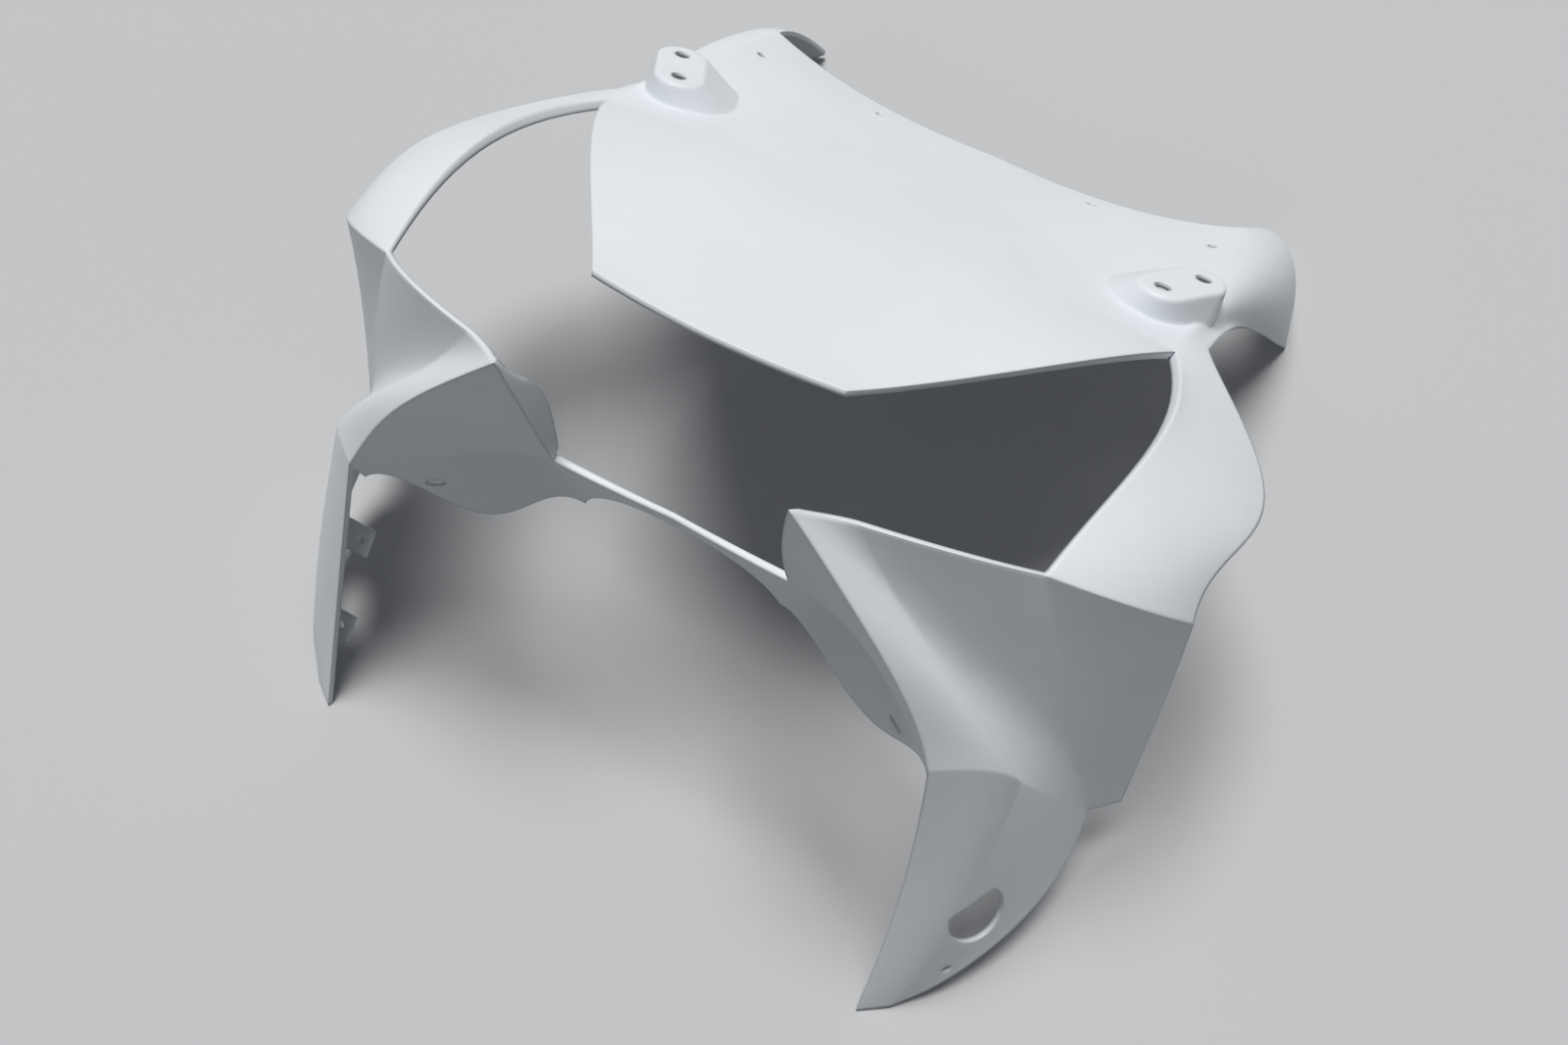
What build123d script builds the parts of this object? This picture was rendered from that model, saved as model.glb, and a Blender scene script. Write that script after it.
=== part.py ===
from build123d import *

import os

import numpy as np

# Front upper fairing of a sports motorcycle: one thin moulding, millimetres.
# X runs across the bike, Y rearward from the leg tips, Z up from the floor it lies on.
# The shell is a set of patches between character lines, drawn for the +X half and mirrored.

# Degree of every character line and patch
line_degree = 4

# Wall of the moulding
wall = 3.0

# Mirror pads: a stadium top with two holes, flared down to the deck and hollow below
pad_length = 58.0
pad_width = 28.0
pad_height = 12.0
pad_end_flare = 4.0
pad_side_flare = 11.0
pad_lean = 8.0
pad_edge = 2.5
pad_root = 6.0
mirror_hole = 9.0
mirror_spacing = 33.0

# Screen screw holes
screen_hole = 5.0

# Slots in the chin lip
slot_length = 10.0
slot_width = 5.5

# Turn signal openings, oval with one flat edge, and the screw holes below them
signal_width = 32.0
signal_length = 46.0
signal_flat = 14.0
signal_round = 4.0
leg_screw_hole = 5.0

# Fixing tabs inside each leg: reach from the wall, and the hole's distance from the tip
upper_tab_reach = 32.0
lower_tab_reach = 24.0
tab_length = 16.0
tab_thickness = 2.5
tab_hole = 5.0
tab_hole_edge = 7.0
tab_root = 6.0

# Shift that hollows the side panel beside the ridge band
side_hollow = (-7.5, 1.6, -2.2)

# Half length of the tools that drill through the wall
drill_reach = 10.0

# Turns a point to the other side of the bike
across = np.array([-1.0, 1.0, 1.0])

# Corners of the shell, right half
nose_centre = (0.0, 162.0, 286.0)
beak_corner = (66.0, 169.0, 281.0)
deck_centre = (0.0, 325.0, 197.0)
lamp_rear = (170.0, 325.0, 189.0)
screen_centre = (0.0, 484.0, 80.0)
ear_shoulder = (158.0, 491.0, 100.0)
arm_top = (182.0, 350.0, 168.0)
ear_foot = (207.0, 499.0, 0.0)
ear_tip_outer = (178.0, 569.0, 0.0)
ear_tip_inner = (170.0, 573.0, 5.0)
lamp_corner = (176.0, 149.0, 246.0)
brow_rear = (239.0, 184.0, 200.0)
panel_corner = (244.0, 156.0, 40.0)
notch = (231.0, 139.0, 50.0)
ridge_shoulder = (100.0, 117.0, 274.0)
ridge_foot = (200.0, 104.0, 131.0)
fang_top = (74.0, 104.0, 284.0)
knee = (163.5, 73.5, 168.0)
chin_end = (163.0, 75.5, 159.0)
lip_end = (162.0, 78.0, 150.0)
tip_front = (172.0, 0.0, 0.0)
tip_middle = (186.0, 10.0, 1.0)
tip_rear = (200.0, 26.0, 7.0)
strip_end = (66.0, 116.0, 190.0)
strip_foot = (57.0, 122.5, 146.0)
strip_centre = (0.0, 119.0, 187.0)
strip_under = (0.0, 121.0, 174.5)
duct_top = (72.6, 115.0, 260.0)
duct_end = (66.0, 122.0, 194.0)


def line(*points):
    """Bezier control points of the smooth curve through the given points."""
    points = np.array(points, float)
    steps = np.linalg.norm(np.diff(points, axis=0), axis=1)
    at = np.concatenate([[0.0], np.cumsum(steps) / steps.sum()])
    degree = len(points) - 1
    basis = np.array([[bernstein(degree, k, t) for k in range(degree + 1)] for t in at])
    return raised(np.linalg.solve(basis, points))


def bernstein(degree, k, t):
    """Value of one Bernstein polynomial."""
    choose = 1.0
    for i in range(k):
        choose *= (degree - i) / (i + 1)
    return choose * t**k * (1 - t) ** (degree - k)


def raised(curve):
    """The same Bezier curve written with the degree that all lines share."""
    while len(curve) - 1 < line_degree:
        n = len(curve)
        share = np.arange(n + 1)[:, None] / n
        before = np.vstack([curve[:1], curve])
        after = np.vstack([curve, curve[-1:]])
        curve = share * before + (1 - share) * after
    return curve


def patch(*sides, hollow=(0.0, 0.0, 0.0)):
    """Control net between four lines, named anticlockwise as seen from outside.
    A hollow is a shift of the points beside the fourth line."""
    chain = [sides[0]]
    if min(np.linalg.norm(sides[0][-1] - end) for end in (sides[1][0], sides[1][-1])) > 1e-6:
        chain = [sides[0][::-1]]
    for side in sides[1:]:
        joined = np.linalg.norm(side[0] - chain[-1][-1]) < 1e-6
        chain.append(side if joined else side[::-1])
    net = blend(chain[0], chain[1], chain[2][::-1], chain[3][::-1])
    net[1, 1:-1] += hollow
    return net


def blend(bottom, right, top, left):
    """Net that runs evenly between four border rows."""
    u = np.linspace(0, 1, line_degree + 1)[:, None, None]
    v = np.linspace(0, 1, line_degree + 1)[None, :, None]
    lengthwise = (1 - v) * bottom[:, None] + v * top[:, None]
    crosswise = (1 - u) * left[None] + u * right[None]
    corners = (1 - u) * ((1 - v) * bottom[0] + v * top[0]) + u * ((1 - v) * bottom[-1] + v * top[-1])
    return lengthwise + crosswise - corners


def mirrored(net):
    """The same net on the other side of the bike, still seen from outside."""
    return net[::-1] * across + 0.0


def key(point):
    """A point as a dictionary key, equal for the shared points of two nets."""
    return tuple(np.round(point, 4) + 0.0)


def row_name(row):
    """The same name for one row of points, from whichever net and end it is read."""
    return frozenset(key(point) for point in row)


def borders(net):
    """Border rows of a net: bottom, right, top and left."""
    return net[:, 0], net[-1], net[:, -1], net[0]


def smoothed(nets, soft_lines):
    """Level the rows beside each soft line, so that two patches flow into each other there."""
    rows = {}
    for net in nets:
        for border, beside in zip(borders(net), (net[:, 1], net[-2], net[:, -2], net[1])):
            rows.setdefault(row_name(border), []).append((border, beside))
    for soft in soft_lines:
        (border, beside), (other_border, other_beside) = rows[row_name(soft)]
        place = {key(point): k for k, point in enumerate(other_border)}
        for k in range(1, line_degree):
            m = place[key(border[k])]
            before = beside[k] - border[k]
            after = other_beside[m] - border[k]
            flow = after / np.linalg.norm(after) - before / np.linalg.norm(before)
            flow = flow / np.linalg.norm(flow)
            beside[k] = border[k] - flow * np.linalg.norm(before)
            other_beside[m] = border[k] + flow * np.linalg.norm(after)
    return nets


def inward_steps(nets):
    """For each control point, the step that lies one millimetre inside the shell."""
    normals = {}
    for net in nets:
        for i in range(net.shape[0] - 1):
            for j in range(net.shape[1] - 1):
                cell = [net[i, j], net[i + 1, j], net[i + 1, j + 1], net[i, j + 1]]
                normal = np.cross(cell[2] - cell[0], cell[3] - cell[1])
                normal = normal / np.linalg.norm(normal)
                for corner in cell:
                    normals.setdefault(key(corner), []).append(normal)
    steps = {}
    for point, around in normals.items():
        mean = np.mean(around, axis=0)
        steps[point] = -mean / (mean @ mean)
    return steps


def border_steps(border, beside, corners):
    """Inward steps along a border of the nets beside it, led to the steps of its two corners."""
    steps = inward_steps(beside)
    own = np.array([steps[key(point)] for point in border])
    t = np.linspace(0, 1, line_degree + 1)[:, None]
    first = corners[key(border[0])] - own[0]
    last = corners[key(border[-1])] - own[-1]
    return own + (1 - t) * first + t * last


def thick_skin(nets, near, far):
    """Solid between two depths under the patches, closed by rims along every free edge."""
    corners = inward_steps(nets)
    beside = {}
    for net in nets:
        for border in borders(net):
            beside.setdefault(row_name(border), []).append(net)
    faces = []
    for net in nets:
        steps = inward_steps([net])
        own = np.array([[steps[key(point)] for point in row] for row in net])
        led = [border_steps(border, beside[row_name(border)], corners) for border in borders(net)]
        step = own + blend(*[row - own_row for row, own_row in zip(led, borders(own))])
        faces += [bezier_face(net + near * step), bezier_face(net + far * step)]
        for border, row in zip(borders(net), led):
            if len(beside[row_name(border)]) == 1:
                faces.append(bezier_face(np.array([border + near * row, border + far * row])))
    return Solid(Shell(faces))


def bezier_face(net):
    """One Bezier face from its control net."""
    return Face.make_bezier_surface([[Vector(*point) for point in row] for row in net])


def half_skin():
    """Control nets of the right half of the shell by name, and the lines that run smooth through it."""
    # Deck between the lamps, back to the screen edge
    beak_edge = line(nose_centre, (36.0, 164.0, 284.8), beak_corner)
    lamp_upper = line(beak_corner, (106.0, 223.0, 252.0), (144.0, 277.0, 225.0), lamp_rear)
    deck_cross = line(deck_centre, (90.0, 325.0, 196.5), lamp_rear)
    centre_front = line(nose_centre, (0.0, 243.0, 246.0), deck_centre)
    centre_rear = line(deck_centre, (0.0, 404.0, 143.0), screen_centre)
    shoulder = line(lamp_rear, (166.0, 408.0, 145.0), ear_shoulder)
    screen_edge = line(screen_centre, (72.0, 486.0, 79.0), (120.0, 488.0, 87.0), ear_shoulder)

    # Ear beside the screen
    ear_roll = line(ear_shoulder, (182.0, 493.0, 88.0), (200.0, 497.0, 50.0), ear_foot)
    ear_rim = line(ear_shoulder, (168.0, 536.0, 54.0), ear_tip_inner)
    ear_tip = line(ear_tip_outer, ear_tip_inner)
    ear_lower = line(ear_foot, (195.0, 537.0, -1.0), ear_tip_outer)
    junction = line(lamp_rear, (177.0, 337.0, 180.0), arm_top)
    arch = line(arm_top, (186.0, 406.0, 121.0), (196.5, 455.0, 60.0), ear_foot)

    # Arm round the outside of the lamp and the brow below it
    lamp_outer = line(lamp_rear, (187.0, 271.0, 217.0), (186.0, 221.0, 237.0), lamp_corner)
    arm_outer = line(arm_top, (207.0, 321.0, 174.0), (238.0, 284.0, 175.0), (241.0, 229.0, 197.0), brow_rear)
    brow_crease = line(lamp_corner, (210.0, 162.0, 230.0), brow_rear)

    # Side panel, ridge band and leg
    lamp_lower = line(ridge_shoulder, (140.0, 129.0, 266.0), lamp_corner)
    panel_fold = line(lamp_corner, (207.0, 142.0, 146.0), notch)
    panel_rear = line(brow_rear, (242.0, 177.0, 118.0), panel_corner)
    panel_foot = line(notch, panel_corner)
    leg_top = line(ridge_foot, (217.0, 121.0, 90.0), notch)
    ridge_top = line(fang_top, (86.0, 111.5, 277.5), ridge_shoulder)
    ridge_inner = line(fang_top, (106.0, 95.0, 253.0), (134.0, 87.0, 220.0), (152.0, 81.0, 191.0), knee)
    ridge_outer = line(ridge_shoulder, (131.0, 111.0, 228.0), (165.0, 108.0, 185.0), ridge_foot)
    ridge_end = line(knee, (181.0, 86.0, 164.0), ridge_foot)
    leg_front = line(knee, (170.5, 45.0, 92.0), tip_front)
    leg_middle = line(ridge_foot, (199.0, 52.0, 66.0), tip_middle)
    leg_rear = line(notch, (233.0, 112.0, 31.0), (223.0, 69.0, 19.0), tip_rear)
    tip_fore = line(tip_front, tip_middle)
    tip_aft = line(tip_middle, tip_rear)

    # Chin face, its lip, the strip across the intake and the returned sides of the intake
    intake = line(fang_top, (68.0, 108.0, 240.0), strip_end)
    valley = line(strip_end, (105.0, 116.0, 165.0), (138.0, 97.0, 160.0), chin_end)
    chin_side = line(knee, chin_end)
    lip_side = line(chin_end, lip_end)
    strip_side = line(strip_end, strip_foot)
    lip_edge = line(strip_foot, (88.0, 114.0, 130.5), (117.0, 105.0, 110.0), (140.0, 95.0, 128.0), lip_end)
    strip_top = line(strip_centre, (38.0, 118.0, 186.0), strip_end)
    strip_lower = line(strip_under, (29.0, 121.0, 172.0), (49.0, 121.5, 160.0), strip_foot)
    strip_middle = line(strip_centre, strip_under)
    duct_foot = line(strip_end, duct_end)
    duct_cap = line(fang_top, duct_top)
    duct_rear = line(duct_top, (70.0, 124.0, 238.0), (67.5, 124.5, 216.0), duct_end)

    patches = {
        "deck_front": patch(beak_edge, lamp_upper, deck_cross, centre_front),
        "deck_rear": patch(deck_cross, shoulder, screen_edge, centre_rear),
        "ear": patch(junction, arch, ear_roll, shoulder),
        "ear_tip": patch(ear_roll, ear_lower, ear_tip, ear_rim),
        "arm": patch(brow_crease, arm_outer, junction, lamp_outer),
        "panel_front": patch(leg_top, panel_fold, lamp_lower, ridge_outer, hollow=side_hollow),
        "panel_rear": patch(panel_foot, panel_rear, brow_crease, panel_fold),
        "ridge": patch(ridge_end, ridge_outer, ridge_top, ridge_inner),
        "leg_front": patch(tip_fore, leg_middle, ridge_end, leg_front),
        "leg_rear": patch(tip_aft, leg_rear, leg_top, leg_middle),
        "chin": patch(valley, chin_side, ridge_inner, intake),
        "lip": patch(lip_edge, lip_side, valley, strip_side),
        "strip": patch(strip_lower, strip_side, strip_top, strip_middle),
        "duct": patch(duct_foot, intake, duct_cap, duct_rear),
    }
    soft = [centre_front, centre_rear, deck_cross, shoulder, junction, ear_roll]
    soft += [panel_fold, leg_top, leg_middle, strip_middle]
    return patches, soft


def pad_section(depth, inset):
    """Outline of the mirror pad at a depth below its top, inset all round."""
    share = depth / pad_height
    length = pad_length + 2 * pad_end_flare * share - 2 * inset
    width = pad_width + 2 * pad_side_flare * share - 2 * inset
    return pad.offset(-depth) * Pos(0, pad_lean * share) * SlotOverall(length, width)


def pad_body():
    """Mirror pad standing on the deck, its foot ending inside the deck wall."""
    body = loft([pad_section(0, 0), pad_section(pad_height + pad_root, 0)])
    top = body.faces().sort_by(Axis(pad.origin, pad.z_dir))[-1]
    body = fillet(top.edges(), pad_edge)
    deck = [right["deck_front"], right["deck_rear"], right["ear"]]
    return body - thick_skin(deck, wall / 2, wall / 2 + 2 * pad_root)


def pad_hollow():
    """Space under the mirror pad, open through the deck wall."""
    foot = pad_section(pad_height + pad_root, wall)
    return loft([pad_section(wall, wall), foot]) + extrude(foot, pad_root, dir=-pad.z_dir)


def drill(plane, diameter):
    """Round tool through the wall."""
    return plane * Cylinder(diameter / 2, 2 * drill_reach)


def signal_tool():
    """Oval tool with one flat edge through the leg."""
    beyond = Pos(0, signal_flat + signal_length / 2) * Rectangle(signal_length, signal_length)
    outline = Ellipse(signal_width / 2, signal_length / 2) - beyond
    outline = fillet(outline.vertices(), signal_round)
    return extrude(signal * outline, drill_reach, both=True)


def tab(plane, reach):
    """Drilled tab reaching inward from the leg, its root ending inside the leg wall."""
    plate = Pos((reach - tab_root) / 2, 0) * Box(reach + tab_root, tab_length, tab_thickness)
    plate = plate - Pos(reach - tab_hole_edge, 0) * Cylinder(tab_hole / 2, tab_thickness)
    return plane * plate - thick_skin([right["leg_front"], right["leg_rear"]], -2 * tab_root, wall / 2)


# Planes of the pads and of the drilled openings, right half
pad = Plane((154.6, 375.9, 177.2), x_dir=(0.446, 0.786, -0.428), z_dir=(-0.019, 0.487, 0.873))
screen_inner = Plane((72.0, 465.3, 94.1), z_dir=(0.0, 0.6, 0.8))
screen_outer = Plane((150.0, 454.5, 115.4), z_dir=(0.0, 0.5, 0.866))
slot = Plane((136.5, 100.0, 137.0), x_dir=(0.89, -0.45, 0.0), z_dir=(-0.45, -0.89, 0.03))
signal = Plane((207.0, 59.3, 53.9), x_dir=(0.44, 0.89, 0.119), z_dir=(0.849, -0.456, 0.268))
leg_screw = Plane((203.9, 37.0, 20.4), z_dir=(0.769, -0.577, 0.275))
upper_tab = Plane((200.5, 67.8, 87.0), x_dir=(-1.0, 0.0, 0.0), z_dir=(0.0, 0.66, -0.75))
lower_tab = Plane((199.5, 37.4, 27.7), x_dir=(-1.0, 0.0, 0.0), z_dir=(0.0, 0.66, -0.75))

right, soft = half_skin()
nets = list(right.values()) + [mirrored(net) for net in right.values()]
nets = smoothed(nets, soft + [side * across for side in soft])
fairing = thick_skin(nets, 0, wall)

added = [pad_body(), tab(upper_tab, upper_tab_reach), tab(lower_tab, lower_tab_reach)]
cut = [
    pad_hollow(),
    drill(pad * Pos(-mirror_spacing / 2, 0), mirror_hole),
    drill(pad * Pos(mirror_spacing / 2, 0), mirror_hole),
    drill(screen_inner, screen_hole),
    drill(screen_outer, screen_hole),
    drill(leg_screw, leg_screw_hole),
    extrude(slot * SlotOverall(slot_length, slot_width), drill_reach, both=True),
    signal_tool(),
]
for piece in added:
    fairing += [piece, mirror(piece, about=Plane.YZ)]
for tool in cut:
    fairing -= [tool, mirror(tool, about=Plane.YZ)]

# The origin lies on the floor under the middle of the part
box = fairing.bounding_box()
fairing = Pos(0, -box.center().Y, -box.min.Z) * fairing

os.makedirs("parts", exist_ok=True)
export_step(fairing, "parts/nose_fairing.step")
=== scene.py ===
import bpy
from mathutils import Matrix, Vector

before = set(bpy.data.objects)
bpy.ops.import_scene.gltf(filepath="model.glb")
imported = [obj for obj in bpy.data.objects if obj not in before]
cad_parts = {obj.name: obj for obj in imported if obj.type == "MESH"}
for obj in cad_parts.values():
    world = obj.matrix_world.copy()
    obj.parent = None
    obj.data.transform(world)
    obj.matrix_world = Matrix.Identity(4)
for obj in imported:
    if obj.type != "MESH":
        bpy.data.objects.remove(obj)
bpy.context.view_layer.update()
scene = bpy.context.scene

# Bare white ABS: two close whites in clouds, and an uneven satin.
# Noise scales are per metre, the relief heights and the edge radius are in metres.
ABS_IOR = 1.46
CLOUD_SCALE = 9.0
CLOUD_DETAIL = 4.0
CLOUD_WHITES = ((0.35, (0.715, 0.748, 0.78)), (0.65, (0.75, 0.78, 0.81)))
SATIN_SCALE = 26.0
SATIN_DETAIL = 6.0
SATIN_HARSHNESS = 0.7
SATIN_LEVELS = ((0.35, (0.44, 0.44, 0.44)), (0.7, (0.58, 0.58, 0.58)))
EDGE_RADIUS = 0.003
EDGE_SAMPLES = 8
WAVE_SCALE = 14.0
WAVE_DETAIL = 2.0
WAVE_STRENGTH = 0.10
WAVE_HEIGHT = 0.0015
GRAIN_SCALE = 900.0
GRAIN_DETAIL = 2.0
GRAIN_STRENGTH = 0.12
GRAIN_HEIGHT = 0.0004

# Pale floor: the colour that is seen, and a darker one for the light that it throws back on the part.
FLOOR_SIZE = 40.0
FLOOR_ROUGHNESS = 0.9
FLOOR_SEEN = (0.5, 0.505, 0.51, 1.0)
FLOOR_BOUNCE = (0.24, 0.242, 0.245, 1.0)

# Soft key from above and behind, a weak sky, and a backdrop that meets the floor without a step.
KEY_ENERGY = 2.95
KEY_SPREAD = 0.5
KEY_AIM = Vector((0.25, -0.3, -2.1))
SKY_COLOUR = (0.9, 0.93, 1.0, 1.0)
SKY_STRENGTH = 0.16
BACKDROP_COLOUR = (0.5685, 0.577, 0.587, 1.0)

# Camera at the photo's angle: lens and sensor in millimetres, place in metres.
SENSOR_WIDTH = 36.0
LENS = 39.375
CLIP_START = 0.01
CAMERA_PLACE = (0.253825, -0.480883, 0.904984)
CAMERA_RIGHT = (0.86487, 0.50186, -0.01184)
CAMERA_UP = (-0.43439, 0.76001, 0.48342)
CAMERA_BACK = (0.25161, -0.41295, 0.87531)


def material(name):
    """New node material and its shader."""
    made = bpy.data.materials.new(name)
    made.use_nodes = True
    return made, made.node_tree.nodes["Principled BSDF"]


def noise(tree, scale, detail, harshness=0.5):
    """Noise over object space."""
    place = tree.nodes.new("ShaderNodeTexCoord")
    cloud = tree.nodes.new("ShaderNodeTexNoise")
    cloud.inputs["Scale"].default_value = scale
    cloud.inputs["Detail"].default_value = detail
    cloud.inputs["Roughness"].default_value = harshness
    tree.links.new(place.outputs["Object"], cloud.inputs["Vector"])
    return cloud


def ramp(tree, source, stops):
    """Two colours or levels laid along a noise."""
    between = tree.nodes.new("ShaderNodeValToRGB")
    for element, (position, colour) in zip(between.color_ramp.elements, stops):
        element.position = position
        element.color = (*colour, 1.0)
    tree.links.new(source.outputs["Fac"], between.inputs["Fac"])
    return between


def bump(tree, source, strength, height, normal):
    """Relief from a noise, laid on a normal."""
    relief = tree.nodes.new("ShaderNodeBump")
    relief.inputs["Strength"].default_value = strength
    relief.inputs["Distance"].default_value = height
    tree.links.new(source.outputs["Fac"], relief.inputs["Height"])
    tree.links.new(normal, relief.inputs["Normal"])
    return relief


def looked_at(tree):
    """One for rays that the camera, a reflection or a transmission sends, nothing for light that bounces."""
    path = tree.nodes.new("ShaderNodeLightPath")
    seen = path.outputs["Is Camera Ray"]
    for kind in ("Is Glossy Ray", "Is Transmission Ray"):
        either = tree.nodes.new("ShaderNodeMath")
        either.operation = "MAXIMUM"
        tree.links.new(seen, either.inputs[0])
        tree.links.new(path.outputs[kind], either.inputs[1])
        seen = either.outputs["Value"]
    return seen


def white_abs():
    """Bare white moulding plastic: cloudy, satin, with softened edges, faint waves and a fine grain."""
    made, shader = material("bare_white_abs")
    tree = made.node_tree
    clouds = ramp(tree, noise(tree, CLOUD_SCALE, CLOUD_DETAIL), CLOUD_WHITES)
    tree.links.new(clouds.outputs["Color"], shader.inputs["Base Color"])
    satin = ramp(tree, noise(tree, SATIN_SCALE, SATIN_DETAIL, SATIN_HARSHNESS), SATIN_LEVELS)
    tree.links.new(satin.outputs["Color"], shader.inputs["Roughness"])
    edges = tree.nodes.new("ShaderNodeBevel")
    edges.samples = EDGE_SAMPLES
    edges.inputs["Radius"].default_value = EDGE_RADIUS
    wave_noise = noise(tree, WAVE_SCALE, WAVE_DETAIL)
    waves = bump(tree, wave_noise, WAVE_STRENGTH, WAVE_HEIGHT, edges.outputs["Normal"])
    grain_noise = noise(tree, GRAIN_SCALE, GRAIN_DETAIL)
    grain = bump(tree, grain_noise, GRAIN_STRENGTH, GRAIN_HEIGHT, waves.outputs["Normal"])
    tree.links.new(grain.outputs["Normal"], shader.inputs["Normal"])
    shader.inputs["IOR"].default_value = ABS_IOR
    return made


def pale_floor():
    """Pale matt floor that throws back less light than its seen colour would."""
    made, shader = material("pale_floor")
    tree = made.node_tree
    shader.inputs["Roughness"].default_value = FLOOR_ROUGHNESS
    tint = tree.nodes.new("ShaderNodeMix")
    tint.data_type = "RGBA"
    tint.inputs["A"].default_value = FLOOR_BOUNCE
    tint.inputs["B"].default_value = FLOOR_SEEN
    tree.links.new(looked_at(tree), tint.inputs["Factor"])
    tree.links.new(tint.outputs["Result"], shader.inputs["Base Color"])
    return made


def studio():
    """World that lights with a weak sky and shows a pale backdrop."""
    made = bpy.data.worlds.new("studio")
    made.use_nodes = True
    tree = made.node_tree
    sky = tree.nodes["Background"]
    sky.inputs["Color"].default_value = SKY_COLOUR
    sky.inputs["Strength"].default_value = SKY_STRENGTH
    backdrop = tree.nodes.new("ShaderNodeBackground")
    backdrop.inputs["Color"].default_value = BACKDROP_COLOUR
    chosen = tree.nodes.new("ShaderNodeMixShader")
    tree.links.new(looked_at(tree), chosen.inputs["Fac"])
    tree.links.new(sky.outputs["Background"], chosen.inputs[1])
    tree.links.new(backdrop.outputs["Background"], chosen.inputs[2])
    tree.links.new(chosen.outputs["Shader"], tree.nodes["World Output"].inputs["Surface"])
    return made


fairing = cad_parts["nose_fairing"]
plastic = white_abs()
for slot in fairing.material_slots:
    slot.material = plastic

bpy.ops.mesh.primitive_plane_add(size=FLOOR_SIZE, location=(0.0, 0.0, 0.0))
floor = bpy.context.object
floor.name = "floor"
floor.data.materials.append(pale_floor())

key_light = bpy.data.lights.new("key", "SUN")
key_light.energy = KEY_ENERGY
key_light.angle = KEY_SPREAD
key = bpy.data.objects.new("key", key_light)
key.rotation_euler = KEY_AIM.to_track_quat("-Z", "Y").to_euler()
scene.collection.objects.link(key)

scene.world = studio()
scene.view_settings.view_transform = "Standard"

camera_data = bpy.data.cameras.new("photo_camera")
camera_data.sensor_width = SENSOR_WIDTH
camera_data.lens = LENS
camera_data.clip_start = CLIP_START
camera = bpy.data.objects.new("photo_camera", camera_data)
turn = Matrix((CAMERA_RIGHT, CAMERA_UP, CAMERA_BACK)).transposed()
camera.matrix_world = Matrix.Translation(CAMERA_PLACE) @ turn.to_4x4()
scene.collection.objects.link(camera)
scene.camera = camera
